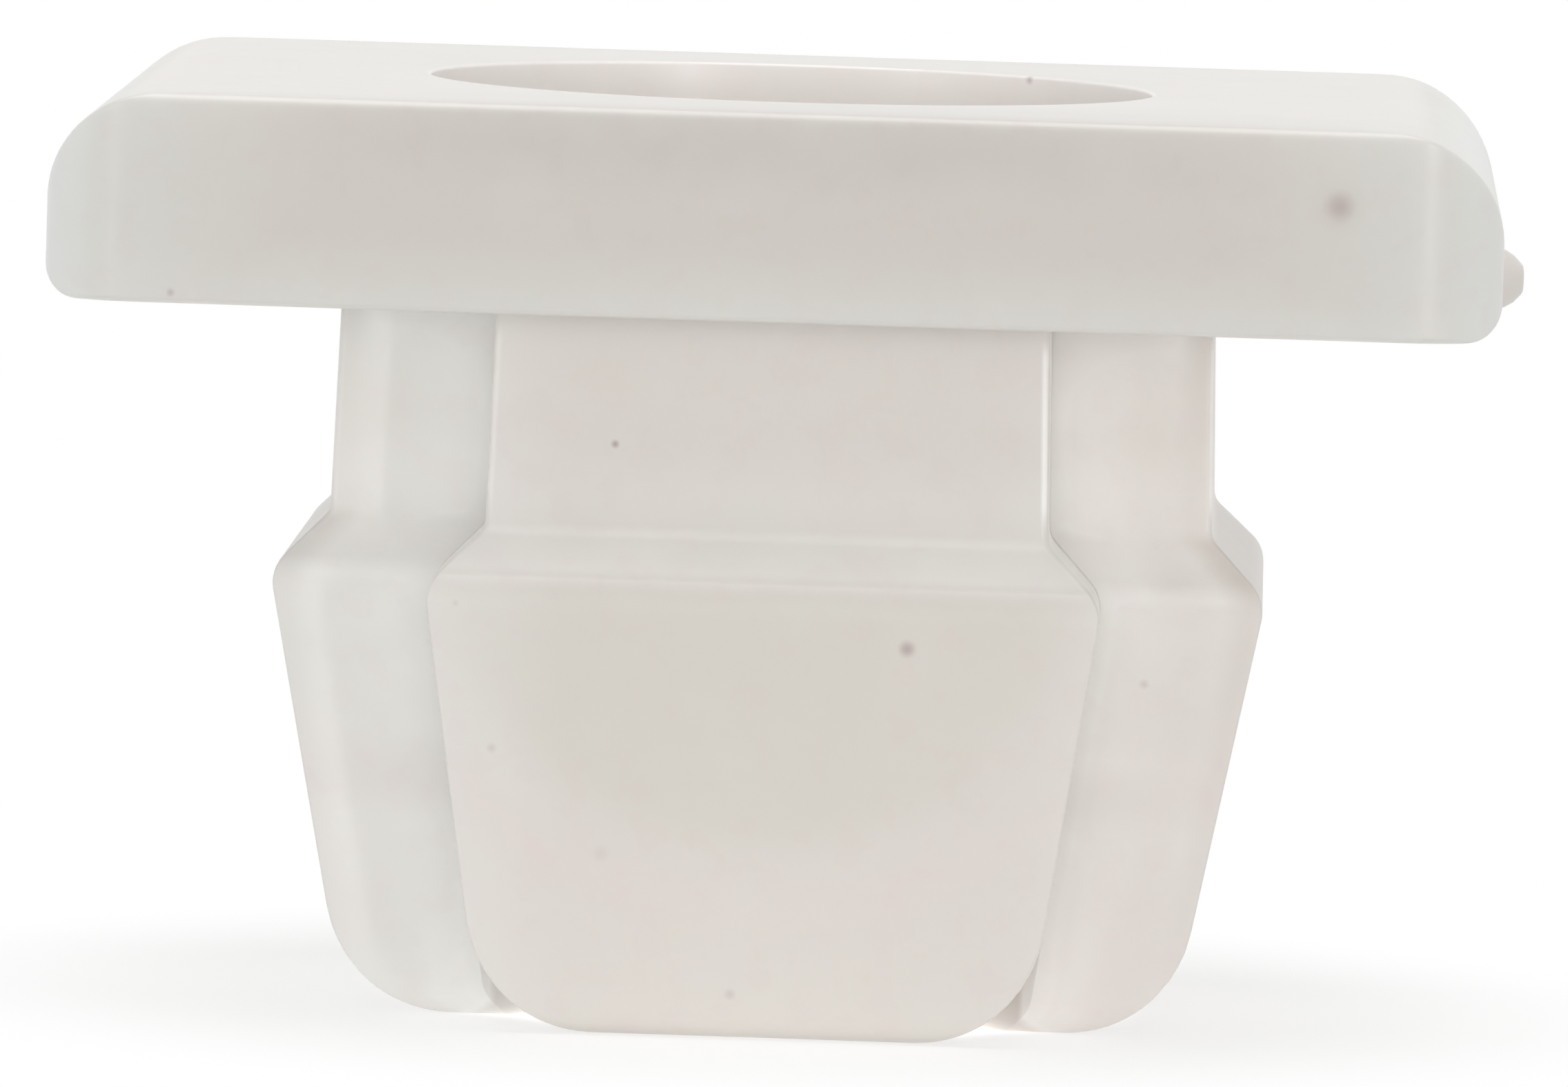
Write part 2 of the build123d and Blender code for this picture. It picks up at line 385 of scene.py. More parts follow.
class Mould:
    """One leg on the +X side: its outlines, its slot and its fine roundings, in millimetres."""

    def __init__(self, legs, passage, toe_radius, side_radius, setback, lean):
        self.foot = -millimetres(legs, "shank_length")
        self.passage = passage
        self.setback = setback
        self.lean = lean
        self.fillet = millimetres(legs, "root_fillet")
        self.rim = millimetres(legs, "toe_rim_radius")
        self.neck = millimetres(legs, "neck_length")
        self.upright = millimetres(legs, "upright_radius")
        self.barb_side = millimetres(legs, "barb_side_radius")
        self.notch = millimetres(legs, "notch_radius")
        self.bore_edge = millimetres(legs, "bore_edge_radius")
        self.across = self.outline(legs, "neck_half_top", "neck_half_low", "toe_half", toe_radius)
        self.own = self.outline(legs, "leg_half_top", "leg_half_low", "leg_half_toe", side_radius)

    def outline(self, legs, top, low, toe, toe_radius):
        """Neck, 45 degree shoulder, barb and tapered toe."""
        neck = millimetres(legs, "neck_length")
        out = millimetres(legs, "barb_out")
        narrow = millimetres(legs, low)
        corners = [
            Vector((millimetres(legs, top), 0)),
            Vector((narrow, -neck)),
            Vector((narrow + out, -neck - out)),
            Vector((millimetres(legs, toe), self.foot)),
            Vector((0, self.foot)),
        ]
        radii = (millimetres(legs, "shoulder_radius"), millimetres(legs, "barb_radius"), toe_radius)
        return Outline(corners, radii)

    def heights(self):
        """Every height that needs a loop, from inside the head down to the toe."""
        turns = quarter_turn(RIM_STEPS)
        flare = [-self.fillet * (1 - cos(t)) for t in turns]
        rim = [self.foot + self.rim * (1 - cos(t)) for t in turns]
        outlines = self.across.heights + self.own.heights + self.passage.heights
        return thinned(sorted([BURIED, *flare, *rim, *outlines], reverse=True), self.foot)

    def section(self, z):
        """The leg cut level at a height, as a closed loop of (x, y), symmetrical about y = 0."""
        flare = 0
        if z > -self.fillet:
            rise = min(z, 0) + self.fillet
            flare = self.fillet - sqrt(max(0, self.fillet ** 2 - rise ** 2))
        rim = 0
        if z < self.foot + self.rim:
            rise = self.foot + self.rim - z
            rim = self.rim - sqrt(max(0, self.rim ** 2 - rise ** 2))
        out = self.across.half(z) + flare
        side = self.own.half(z) + flare
        bore = self.passage.radius(z) + rim + BURIED_LEAN * max(z, 0)
        slot = self.setback + max(-z, 0) * tan(self.lean) + rim * sqrt(2)

        root = sqrt(2 * bore ** 2 - slot ** 2)
        bore_corner = Vector((slot + root, root - slot)) / 2
        notch_corner = Vector((side + slot, side))
        upright_corner = Vector((out, side))
        middle = Vector((out, 0))
        along_bore = Vector((bore_corner.y, -bore_corner.x))

        edge = bend(bore_corner + along_bore, bore_corner, notch_corner, self.bore_edge, EDGE_STEPS)
        notch = bend(bore_corner, notch_corner, upright_corner, self.notch, EDGE_STEPS)
        below_neck = min(1, max(0, -z - self.neck) / EDGE_CHANGE)
        side_radius = self.upright + (self.barb_side - self.upright) * below_neck
        upright = bend(notch_corner, upright_corner, middle, side_radius, UPRIGHT_STEPS)
        reach = atan2(edge[0].y, edge[0].x)
        turns = [reach * k / BORE_STEPS for k in range(BORE_STEPS)]
        bore_arc = [Vector((cos(t), sin(t))) * bore for t in turns]
        half = [
            *bore_arc, *edge,
            *divided(edge[-1], notch[0], SLOT_PARTS), *notch,
            *divided(notch[-1], upright[0], SIDE_PARTS), *upright,
            *divided(upright[-1], middle, FACE_PARTS), middle,
        ]
        mirrored = [Vector((p.x, -p.y)) for p in half[-2:0:-1]]
        return half + mirrored


class HeadShape:
    """The head: a plate rounded over its two ends, with a round hole, in millimetres."""

    def __init__(self, head):
        self.length = millimetres(head, "half_length")
        self.width = millimetres(head, "half_width")
        self.top = millimetres(head, "thickness")
        self.hole = millimetres(head, "hole_radius")
        self.end = millimetres(head, "end_radius")
        self.foot = millimetres(head, "foot_radius")
        self.corner = millimetres(head, "corner_radius")
        self.high_edge = millimetres(head, "top_edge_radius")
        self.low_edge = millimetres(head, "low_edge_radius")
        self.rim = millimetres(head, "rim_radius")

    def rounded(self, half, z, top_radius, low_radius):
        """Half size of a plate edge at a height, rounded over at the top and at the bottom."""
        over = z - (self.top - top_radius)
        under = low_radius - z
        if over > 0:
            return half - top_radius + sqrt(max(0, top_radius ** 2 - over ** 2))
        if under > 0:
            return half - low_radius + sqrt(max(0, low_radius ** 2 - under ** 2))
        return half

    def heights(self):
        """Heights of the loops round the outside, from the underside to the top."""
        turns = quarter_turn(ARC_STEPS)
        found = [self.foot * (1 - cos(t)) for t in turns]
        found += [self.low_edge * (1 - cos(t)) for t in turns[::2]]
        found += [self.top - self.high_edge * (1 - cos(t)) for t in turns]
        found += [self.top - self.end * (1 - cos(t)) for t in quarter_turn(2 * ARC_STEPS)]
        return thinned([0.0, *sorted(found)], self.top)

    def corner_point(self, half_x, half_y, turn):
        """The point of a plan corner whose surface faces turn, from 0 along +Y to a quarter along +X."""
        round_x = half_x - self.high_edge
        start_x = self.length - self.corner
        if round_x <= start_x:
            centre = Vector((round_x, half_y - self.high_edge))
            return centre + Vector((sin(turn), cos(turn))) * self.high_edge
        wide = Vector((start_x, half_y - self.corner))
        share = min(1, (round_x - start_x) / (self.corner - self.high_edge))
        switch = asin(share)
        if turn <= switch:
            return wide + Vector((sin(turn), cos(turn))) * self.corner
        centre = wide + Vector((sin(switch), cos(switch))) * (self.corner - self.high_edge)
        return centre + Vector((sin(turn), cos(turn))) * self.high_edge

    def quadrant(self, half_x, half_y):
        """A quarter of the plan from +Y to +X: along a long side, round the corner, down the end."""
        arc = [self.corner_point(half_x, half_y, turn) for turn in quarter_turn(CORNER_STEPS)]
        first, last = arc[0], arc[-1]
        long_side = atan2(first.x, half_y)
        short_side = atan2(last.y, half_x)
        long_shares = [k / LONG_SIDE_STEPS for k in range(LONG_SIDE_STEPS)]
        short_shares = [1 - k / SHORT_SIDE_STEPS for k in range(1, SHORT_SIDE_STEPS + 1)]
        along = [Vector((half_y * tan(long_side * share), half_y)) for share in long_shares]
        down = [Vector((half_x, half_x * tan(short_side * share))) for share in short_shares]
        return [*along, *arc, *down]

    def plan(self, half_x, half_y):
        """The closed plan outline, clockwise from +Y."""
        quarter = self.quadrant(half_x, half_y)
        right = quarter + [Vector((p.x, -p.y)) for p in quarter[-2::-1]]
        return right + [Vector((-p.x, p.y)) for p in right[-2:0:-1]]

    def loops(self):
        """Loops of (x, y, z) that run up the hole, over the top, down the outside and back under."""
        outside = []
        for z in self.heights():
            half_x = self.rounded(self.length, z, self.end, self.foot)
            half_y = self.rounded(self.width, z, self.high_edge, self.low_edge)
            outside.append((self.plan(half_x, half_y), z))
        wall_top = self.top - self.rim
        wall = [(self.circle(self.hole), wall_top * k / RIM_STEPS) for k in range(RIM_STEPS)]
        rim = []
        for turn in quarter_turn(RIM_STEPS):
            radius = self.hole + self.rim * (1 - cos(turn))
            rim.append((self.circle(radius), wall_top + self.rim * sin(turn)))
        top_rim, underside = rim[-1][0], wall[0][0]
        across_top = self.between(top_rim, outside[-1][0], self.top)
        across_under = self.between(outside[0][0], underside, 0)
        ordered = [*wall, *rim, *across_top, *reversed(outside), *across_under]
        return [[(p.x, p.y, z) for p in points] for points, z in ordered]

    def circle(self, radius):
        """A circle about the screw axis, with its points in line with those of the plan outline."""
        return [p.normalized() * radius for p in self.plan(self.length, self.width)]

    def between(self, inner, outer, z):
        """Loops that fill a level ring between two loops."""
        shares = [k / LEVEL_STEPS for k in range(1, LEVEL_STEPS)]
        return [([a.lerp(b, share) for a, b in zip(inner, outer)], z) for share in shares]


def skin(name, loops, closed, turn=0, milky=True):
    """A mesh object through loops of points in millimetres: closed on itself, or capped at both ends."""
    count = len(loops[0])
    points = [Matrix.Rotation(turn, 3, "Z") @ Vector(p) for loop in loops for p in loop]
    rows = range(len(loops)) if closed else range(len(loops) - 1)
    faces = []
    for row in rows:
        here, there = row * count, (row + 1) % len(loops) * count
        for k in range(count):
            after = (k + 1) % count
            faces.append((here + k, here + after, there + after, there + k))
    if not closed:
        faces.append(tuple(range(count)))
        faces.append(tuple(range((len(loops) - 1) * count, len(loops) * count)))
    mesh = bpy.data.meshes.new(name)
    mesh.from_pydata([p * MM for p in points], [], faces)
    shell = bmesh.new()
    shell.from_mesh(mesh)
    bmesh.ops.recalc_face_normals(shell, faces=shell.faces)
    shell.to_mesh(mesh)
    shell.free()
    mesh.shade_smooth()
    mesh.set_sharp_from_angle(angle=SHARP_EDGE)
    place = mesh.attributes.new(PLACE, "FLOAT_VECTOR", "POINT")
    place.data.foreach_set("vector", [c for p in points for c in p])
    piece = bpy.data.objects.new(name, mesh)
    bpy.context.scene.collection.objects.link(piece)
    even = piece.modifiers.new("even_normals", "WEIGHTED_NORMAL")
    even.keep_sharp = True
    piece.data.materials.append(nylon(milky))
    return piece


# ---------------------------------------------------------------------------------------------------
# Materials
# ---------------------------------------------------------------------------------------------------

SEED_STEPS = (1, 0.37, -0.61)   # millimetres along X, Y and Z that noise moves for a seed of 1


class Value:
    """One output of a material's nodes. Arithmetic on it adds Math nodes."""

    def __init__(self, graph, socket):
        self.graph = graph
        self.socket = socket

    def _math(self, operation, first, second):
        return self.graph.node("ShaderNodeMath", {"operation": operation}, {0: first, 1: second})

    def __add__(self, other):
        return self._math("ADD", self, other)

    def __sub__(self, other):
        return self._math("SUBTRACT", self, other)

    def __mul__(self, other):
        return self._math("MULTIPLY", self, other)

    def __rsub__(self, other):
        return self._math("SUBTRACT", other, self)

    def __pow__(self, other):
        return self._math("POWER", self, other)

    def __abs__(self):
        return self._math("ABSOLUTE", self, 0)

    __radd__ = __add__
    __rmul__ = __mul__

    def least(self, other):
        """The smaller of the two."""
        return self._math("MINIMUM", self, other)

    def most(self, other):
        """The larger of the two."""
        return self._math("MAXIMUM", self, other)

    def between(self, low, high):
        """0 below low and 1 above high, or the other way round where low is the larger, with a soft step."""
        settings = {"interpolation_type": "SMOOTHSTEP"}
        return self.graph.node("ShaderNodeMapRange", settings, {"Value": self, 1: low, 2: high})


class Graph:
    """The nodes of one material or world."""

    def __init__(self, owner):
        owner.use_nodes = True
        self.tree = owner.node_tree
        self.tree.nodes.clear()

    def node(self, kind, settings=None, inputs=None, output=0):
        """Adds a node: its settings first, then its sockets' values or links. Returns one of its outputs."""
        made = self.tree.nodes.new(kind)
        for name, setting in (settings or {}).items():
            setattr(made, name, setting)
        for name, value in (inputs or {}).items():
            socket = made.inputs[name]
            if isinstance(value, Value):
                self.tree.links.new(value.socket, socket)
            else:
                if getattr(socket, "type", "") == "RGBA" and len(value) == 3:
                    value = (*value, 1)
                socket.default_value = value
        return Value(self, made.outputs[output]) if made.outputs else None

    def mix(self, factor, first, second, blend="MIX"):
        """Two colours mixed."""
        settings = {"data_type": "RGBA", "blend_type": blend}
        return self.node("ShaderNodeMix", settings, {0: factor, 6: first, 7: second}, output=2)

    def vector(self, operation, first, second, output=0):
        """Vector arithmetic on two vectors."""
        return self.node("ShaderNodeVectorMath", {"operation": operation}, {0: first, 1: second}, output)

    def parts(self, vector):
        """The x, y and z of a vector."""
        return [self.node("ShaderNodeSeparateXYZ", None, {0: vector}, k) for k in range(3)]

    def noise(self, place, scale, detail=2.0, seed=0.0):
        """Cloudy noise about 0.5, with scale in clouds for each millimetre. A seed moves it elsewhere."""
        moved = self.vector("ADD", place, [seed * step for step in SEED_STEPS])
        return self.node("ShaderNodeTexNoise", None, {"Vector": moved, "Scale": scale, "Detail": detail})

    def clouds(self, place, kind, detail=2.0, seed=0.0):
        """Noise turned into clouds, from 0 to 1. Their kind is their scale and their span of the noise."""
        scale, span = kind
        return self.noise(place, scale, detail, seed).between(*span)

    def camera_sees(self):
        """1 for the camera and for what gloss and glass show of the surroundings, else 0."""
        path = self.tree.nodes.new("ShaderNodeLightPath")
        rays = [Value(self, path.outputs[f"Is {kind} Ray"]) for kind in ("Camera", "Glossy", "Transmission")]
        return rays[0].most(rays[1]).most(rays[2])


# Dark specks moulded into the nylon: centre in millimetres, radius and strength
SPECKS = (
    ((6.18, -6.25, 1.47), 0.17, 0.40),
    ((6.18, -6.25, 1.47), 0.30, 0.08),
    ((-1.69, -4.88, -1.48), 0.05, 0.62),
    ((1.60, -5.42, -3.59), 0.10, 0.52),
    ((-0.25, -4.68, -7.54), 0.07, 0.22),
    ((4.20, -3.58, -4.05), 0.06, 0.22),
    ((-2.94, -5.18, -4.85), 0.06, 0.20),
    ((-1.71, -4.97, -6.00), 0.10, 0.12),
    ((-3.37, -5.48, -3.24), 0.04, 0.15),
    ((-6.55, -6.25, 0.12), 0.05, 0.35),
    ((-7.35, -6.20, 0.02), 0.05, 0.45),
    ((2.63, 3.09, 2.26), 0.06, 0.45),
)
SPECK_SOFTNESS = 1.3            # reach of a speck's soft edge, in its radii

# Spans of the paint: where a tone starts and where it is full, in millimetres. Heights have + up.
# Most tones that these spans place are painted light and shade.
ON_LEGS = (0.05, -0.05)         # height
ON_HEAD = (-0.05, 0.05)         # height
ON_END_LEGS = (-0.1, 0.1)       # how much farther a point lies along the head than across it
LEFT_HALF = (2.0, -2.0)         # x
RIGHT_EDGES = (-4.0, 4.0)       # x
COOL_LIT_LEG = (-2.0, -3.0)         # x, for the left leg's cooler tint and painted light
ROSY_LEG = (2.0, 3.2)           # x
OFF_BORE = (0.03, 0.20)         # distance out of the screw passage's wall
HOLE_WALL = (0.05, 0.01)        # the same, on the wall itself, where painted light lifts the shade in the hole

OVAL_EDGE = (0.25, -0.65)       # distance out of the arc that hangs from the barb down to the bowl's end, for the painted shade over the cavity
OVAL_TOP = (0.12, -0.06)        # height above the barb's widest height
OVAL_SQUASH = 1.2               # how much wider the painted shade oval is than it is deep
ROSY_RING = (0.0, 0.6)          # distance out of the same arc, where the rosy ring under it starts
ROSY_RING_END = (1.3, 0.7)      # the same, where it ends
ROSY_RING_TOP = (-4.6, -5.6)    # height

# Steps out of a notch: how much farther out a point lies one way in the plan than the other. It is 0 in
# the slots and more than 1.7 on the legs' outer faces
OUTER_FACE = (1.5, 1.7)         # onto a leg's outer face
# The spans from here to SIDE_BARB_LOW place painted light on the legs, and a painted highlight on the neck's
# side edges
NOTCH_SIDE = (1.74, 1.3)        # onto the side that a leg turns to the notch
NOTCH_DEEP = (1.2, 0.1)         # deep in the notch
NOTCH_CORNER = (0.3, 0.0)       # at the slot
TOE_SLOT = (0.8, 0.5)           # beside the slot between the toes
NECK_EDGE = (1.75, 1.80)        # inner limit of the painted highlight along the neck's side edge
NECK_EDGE_END = (1.90, 1.84)    # its outer limit

TOE_SLOT_TOP = (1.6, 0.5)       # height above the toes
NECK_EDGE_LOW = (0.1, 0.5)      # height above the neck's end
NECK_EDGE_TOP = (-0.15, -0.4)   # height

SHOULDER_TOP = (0.10, -0.05)    # height above the neck's end
SHOULDER_LOW = (0.08, 0.25)     # height above the barb's widest height
LOW_NECK = (1.2, 0.3)           # height above the neck's end
NEAR_HEAD = (-0.8, -0.05)       # height, on every side of the legs
NOTCH_TOP = (-1.5, -0.1)        # height, in the notches
NOTCH_ROOT = (-0.6, -0.25)      # height, in the notches close under the head
SIDE_SHOULDER_TOP = (0.1, -0.1)     # height above the neck's end, in the notches
SIDE_SHOULDER_LOW = (-0.15, 0.0)    # height above the barb's widest height, in the notches
SIDE_BARB_TOP = (0.0, -0.15)        # the same
SIDE_BARB_LOW = (-6.8, -5.4)        # height, in the notches

# Shares of a tone, from 0 to 1. A pair holds the plain share, and what is added where a second span is full
# The shares from here to NECK_EDGE_SHARES are of painted light on the legs
NOTCH_SIDE_SHARE = 0.30
NOTCH_DEEP_SHARE = 0.45
NOTCH_CORNER_SHARE = 0.40
NOTCH_TOP_SHARE = 0.50
NOTCH_ROOT_SHARE = 0.20
NEAR_HEAD_SHARE = 0.20
TOE_SLOT_SHARE = 0.15
SHOULDER_SHARE = 0.44
LOW_NECK_SHARE = 0.18
SIDE_SHOULDER_SHARES = (0.35, 0.10)
SIDE_BARB_SHARES = (0.07, 0.09)
NECK_EDGE_SHARES = (0.30, 0.50)
COOL_LIT_LEG_SHARES = (0.14, 0.20)
ROSY_LEG_SHARE = 0.12

# The head's paint: painted shade in the upper middle and along the front of the top face, painted light at
# the ends, the foot, the top and the hole
HEAD_MIDDLE = (6.5, 2.0)        # distance along the head from the screw axis
HEAD_UPPER = (1.2, 2.0)         # height
HEAD_OUTER = (4.5, 7.8)         # distance along the head from the screw axis
HEAD_FOOT = (1.1, 0.0)          # height
HEAD_FOOT_SHARE = 0.7
LEFT_END = (-7.2, -7.9)         # x
LEFT_END_SHARE = 0.60
RIGHT_END = (7.2, 7.9)          # x
RIGHT_END_SHARE = 0.35
TOP_FACE = (-0.12, -0.02)       # height above the top of the head
TOP_INSET = (6.2, 5.2)          # distance across the head from the screw axis
TOP_SHARES = (0.65, 0.35)
SHADED_STRIP_ALONG = (-6.0, 2.0)        # x, for the darker front strip of the top face, painted shade
SHADED_STRIP_ACROSS = (-2.5, -5.5)      # y
SHADED_STRIP_SHARE = 0.35

# Clouds: how many for each millimetre, and the span of the noise over which they come in
ROSY_CLOUDS = (0.35, (0.45, 0.75))
ROSY_CLOUD_SHARE = 0.30
ROSY_RING_SHARE = 0.40
ROSY_SPOTS = (2.6, (0.50, 0.64))
ROSY_SPOT_SHARE = 0.45
GREEN_CLOUDS = (0.9, (0.45, 0.75))
GREEN_CLOUD_SHARE = 0.12

# Surface: clouds for each millimetre of the fine grain and of the ripple, and how deep they are
GRAIN = 9.0
GRAIN_SHARE = 0.3
RIPPLE = 0.9
BUMP_STRENGTH = 0.05
BUMP_DEPTH = 0.004 * MM
REFRACTION = 1.53               # of nylon


def shared(shares, one_side):
    """A share that grows towards one side: the plain share, and what that side adds."""
    plain, added = shares
    return one_side * added + plain


class Places:
    """Where a point of the moulded nylon lies, as nodes of one material, in millimetres."""

    def __init__(self, graph, head, legs):
        self.point = graph.node("ShaderNodeAttribute", {"attribute_name": PLACE}, output="Vector")
        self.x, self.y, self.z = graph.parts(self.point)
        self.top = millimetres(head, "thickness")
        self.neck = -millimetres(legs, "neck_length")
        self.barb = self.neck - millimetres(legs, "barb_out")
        self.foot = -millimetres(legs, "shank_length")
        self.on_legs = self.z.between(*ON_LEGS)
        self.on_head = self.z.between(*ON_HEAD)

        from_axis = (self.x * self.x + self.y * self.y) ** 0.5
        self.from_bore = from_axis - millimetres(head, "hole_radius")
        self.outside = self.from_bore.between(*OFF_BORE)

        lateral = abs(self.x).least(abs(self.y))
        below_barb = (self.z - self.barb).least(0) * OVAL_SQUASH
        from_middle = (lateral * lateral + below_barb * below_barb) ** 0.5
        self.from_bowl = from_middle - (millimetres(legs, "bowl_end") + self.barb)

        self.along_more = abs(self.x) - abs(self.y)
        self.from_notch = abs(self.along_more)
        self.on_end_legs = self.along_more.between(*ON_END_LEGS) * self.on_legs
        self.in_notch = self.from_notch.between(*NOTCH_SIDE) * self.on_legs

    def above(self, level, span):
        """Soft step over the height above a level."""
        start, full = span
        return self.z.between(level + start, level + full)


def painted_light_on_legs(at):
    """Share of painted light on the legs, from 0 to 1: it lifts the shade in the notches, on the shoulders
    and near the head, and paints highlights on the neck's side edges.
    """
    deep = at.from_notch.between(*NOTCH_DEEP) * at.on_legs
    corner = at.from_notch.between(*NOTCH_CORNER) * at.on_legs
    # Share of painted light, built up over the notches, shoulders, the parts near the head and the toe slots
    thin = at.in_notch * NOTCH_SIDE_SHARE + deep * NOTCH_DEEP_SHARE + corner * NOTCH_CORNER_SHARE

    shoulder = at.above(at.neck, SHOULDER_TOP) * at.above(at.barb, SHOULDER_LOW)
    thin += shoulder * (1 - at.on_end_legs) * SHOULDER_SHARE
    low_neck = at.above(at.neck, LOW_NECK) * at.z.between(at.barb, at.neck)
    thin += low_neck * LOW_NECK_SHARE
    thin += at.z.between(*NEAR_HEAD) * at.on_legs * NEAR_HEAD_SHARE
    toe_slot = at.above(at.foot, TOE_SLOT_TOP) * at.from_notch.between(*TOE_SLOT)
    thin += toe_slot * TOE_SLOT_SHARE

    to_left = at.x.between(*LEFT_HALF)
    side_shoulder = at.above(at.neck, SIDE_SHOULDER_TOP) * at.above(at.barb, SIDE_SHOULDER_LOW)
    side_barb = at.above(at.barb, SIDE_BARB_TOP) * at.z.between(*SIDE_BARB_LOW)
    side = side_shoulder * shared(SIDE_SHOULDER_SHARES, to_left)
    side += side_barb * shared(SIDE_BARB_SHARES, to_left)
    side += at.z.between(*NOTCH_ROOT) * NOTCH_ROOT_SHARE
    side += at.z.between(*NOTCH_TOP) * NOTCH_TOP_SHARE
    thin += side * at.in_notch

    # Painted highlight along the neck's side edges, stronger on the right
    neck_edge = at.from_notch.between(*NECK_EDGE) * at.from_notch.between(*NECK_EDGE_END)
    neck_edge *= at.above(at.neck, NECK_EDGE_LOW) * at.z.between(*NECK_EDGE_TOP)
    thin += neck_edge * shared(NECK_EDGE_SHARES, at.x.between(*RIGHT_EDGES))
    return (thin * at.outside).least(1)


def leg_tones(graph, at, finish, colour):
    """Paints the legs over a colour: painted shade over the screw cavity, painted light in the notches, on
    the shoulders and near the head, painted highlights on the neck's side edges, a cooler and lighter left
    leg and a rosier right leg.
    """
    # Painted shade of the screw cavity, seen through the thin wall
    oval = at.from_bowl.between(*OVAL_EDGE) * at.above(at.barb, OVAL_TOP)
    over_cavity = oval * at.outside * at.from_notch.between(*OUTER_FACE)
    colour = graph.mix(over_cavity, colour, finish.cavity_shade[:])
    # Painted light and painted highlights over the legs
    colour = graph.mix(painted_light_on_legs(at), colour, finish.edge[:])
    # Cooler tint and painted light on the left leg
    cool_lit_leg = at.x.between(*COOL_LIT_LEG) * shared(COOL_LIT_LEG_SHARES, at.on_end_legs) * at.on_legs
    colour = graph.mix(cool_lit_leg, colour, finish.cool_lit_side[:])
    rosy_leg = at.x.between(*ROSY_LEG) * at.on_end_legs * ROSY_LEG_SHARE
    return graph.mix(rosy_leg, colour, finish.rosy_side[:])


def head_tones(graph, at, finish, colour):
    """Paints the head over a colour: painted shade in the upper middle and along the front of the top, a
    cooler tone with painted light at the ends and foot, and painted light on the top face and in the hole.
    """
    # Painted shade in the upper middle of the head
    middle = abs(at.x).between(*HEAD_MIDDLE) * at.z.between(*HEAD_UPPER)
    colour = graph.mix(middle * at.on_head, colour, finish.deep[:])
    # Cooler tint and painted light towards the ends and the foot
    outer = abs(at.x).between(*HEAD_OUTER).most(at.z.between(*HEAD_FOOT) * HEAD_FOOT_SHARE)
    colour = graph.mix(outer * at.on_head, colour, finish.cool_lit_outer[:])
    # Painted light at the head's two ends, stronger on the left, with a cooler tint
    ends = at.x.between(*LEFT_END) * LEFT_END_SHARE + at.x.between(*RIGHT_END) * RIGHT_END_SHARE
    colour = graph.mix(ends * at.on_head, colour, finish.cool_lit_side[:])
    # Painted shade along the front of the top face, within the painted light of the top face
    shaded_front_strip = at.x.between(*SHADED_STRIP_ALONG) * at.y.between(*SHADED_STRIP_ACROSS)
    top_share = shared(TOP_SHARES, abs(at.y).between(*TOP_INSET)) - shaded_front_strip * SHADED_STRIP_SHARE
    colour = graph.mix(at.above(at.top, TOP_FACE) * top_share, colour, finish.lit_top_face[:])
    # Painted light inside the screw hole
    return graph.mix(at.from_bore.between(*HOLE_WALL) * at.on_head, colour, finish.wall[:])


def clouded(graph, at, finish, colour):
    """Lays faint rosy and green clouds over a colour."""
    rosy_clouds = graph.clouds(at.point, ROSY_CLOUDS, seed=3.0) * ROSY_CLOUD_SHARE
    ring = at.from_bowl.between(*ROSY_RING) * at.from_bowl.between(*ROSY_RING_END)
    ring *= at.z.between(*ROSY_RING_TOP) * ROSY_RING_SHARE
    colour = graph.mix(rosy_clouds.most(ring) * at.on_legs, colour, finish.rosy[:])
    rosy_spots = graph.clouds(at.point, ROSY_SPOTS, detail=3.0, seed=23.0) * ROSY_SPOT_SHARE
    colour = graph.mix(rosy_spots, colour, finish.rosy_tint[:], "MULTIPLY")
    green_clouds = graph.clouds(at.point, GREEN_CLOUDS, seed=11.0) * GREEN_CLOUD_SHARE
    return graph.mix(green_clouds, colour, finish.green[:])


def specked(graph, at, finish, colour):
    """Lays the dark specks over a colour."""
    for centre, radius, strength in SPECKS:
        away = graph.vector("DISTANCE", at.point, centre, output="Value")
        colour = graph.mix(away.between(radius * SPECK_SOFTNESS, 0) * strength, colour, finish.dirt[:])
    return colour


def nylon(milky):
    """Natural nylon with its specks. The milky kind has all its tones, painted light and shade among them;
    the torn kind is plain.
    """
    name = "natural_nylon" if milky else "torn_nylon"
    made = bpy.data.materials.get(name)
    if made:
        return made
    made = bpy.data.materials.new(name)
    scene = bpy.context.scene
    finish = scene.grommet_nylon
    graph = Graph(made)
    at = Places(graph, scene.grommet_head, scene.grommet_legs)
    colour = finish.colour[:]
    if milky:
        # Painted shade: the head darker than the legs
        colour = graph.mix(at.on_head, colour, finish.shaded_head[:])
        colour = leg_tones(graph, at, finish, colour)
        colour = head_tones(graph, at, finish, colour)
        colour = clouded(graph, at, finish, colour)
    colour = specked(graph, at, finish, colour)

    grain = graph.noise(at.point, GRAIN, detail=3.0, seed=41.0)
    ripple = graph.noise(at.point, RIPPLE, detail=1.0, seed=57.0)
    bump = graph.node("ShaderNodeBump", None, {
        "Strength": BUMP_STRENGTH, "Distance": BUMP_DEPTH, "Height": grain * GRAIN_SHARE + ripple})
    surface = graph.node("ShaderNodeBsdfPrincipled", None, {
        "Base Color": colour,
        "Roughness": finish.roughness + (ripple - 0.5) * finish.unevenness,
        "IOR": REFRACTION,
        "Subsurface Weight": finish.milkiness if milky else 0,
        "Subsurface Radius": (1.0, 1.0, 1.0),
        "Subsurface Scale": finish.milk_depth,
        "Normal": bump,
    })
    graph.node("ShaderNodeOutputMaterial", None, {"Surface": surface})
    return made


